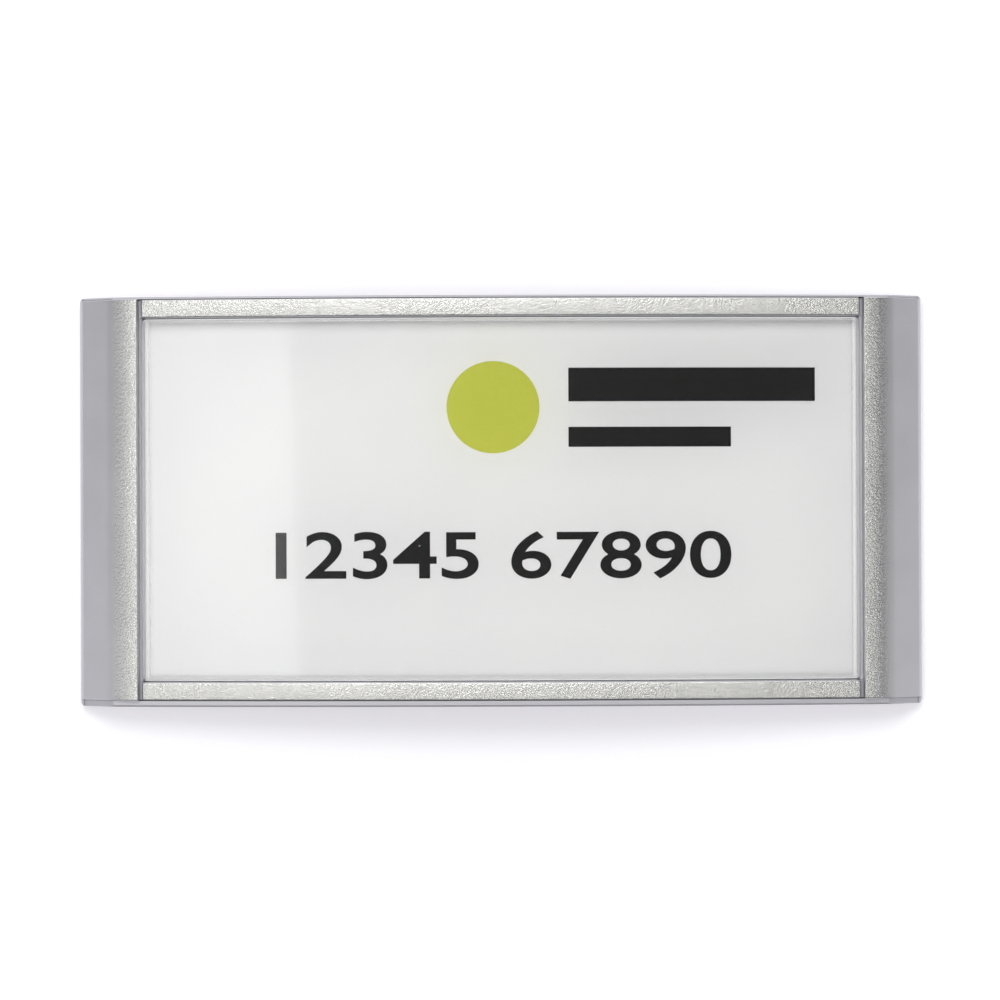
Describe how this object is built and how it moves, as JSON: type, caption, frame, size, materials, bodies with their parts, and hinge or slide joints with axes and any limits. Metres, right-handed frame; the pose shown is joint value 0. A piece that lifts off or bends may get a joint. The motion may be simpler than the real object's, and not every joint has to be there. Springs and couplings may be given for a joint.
{
  "type": "name badge",
  "caption": "Slim arched silver name badge with raised rounded end caps, thin rails, a clear window over a paper insert and a magnet bar on its back.",
  "frame": {"origin": "centre of the footprint, on the surface the badge lies on", "axes": "+X to the right and +Y up as the badge is read, +Z out of its face"},
  "size_m": [0.068, 0.033, 0.0059],
  "materials": {
    "silver_frame": "satin silver lacquer with a fine sparkling grain",
    "clear_window": "clear glossy plastic",
    "insert_card": "smooth matt white card with a plain print",
    "magnet_casing": "matt black moulded casing"
  },
  "bodies": {
    "root": {"back_shell": "silver_frame", "top_rail": "silver_frame", "bottom_rail": "silver_frame", "left_end_cap": "silver_frame", "right_end_cap": "silver_frame", "window": "clear_window", "paper_insert": "insert_card", "magnet_bar": "magnet_casing"}
  },
  "joints": []
}
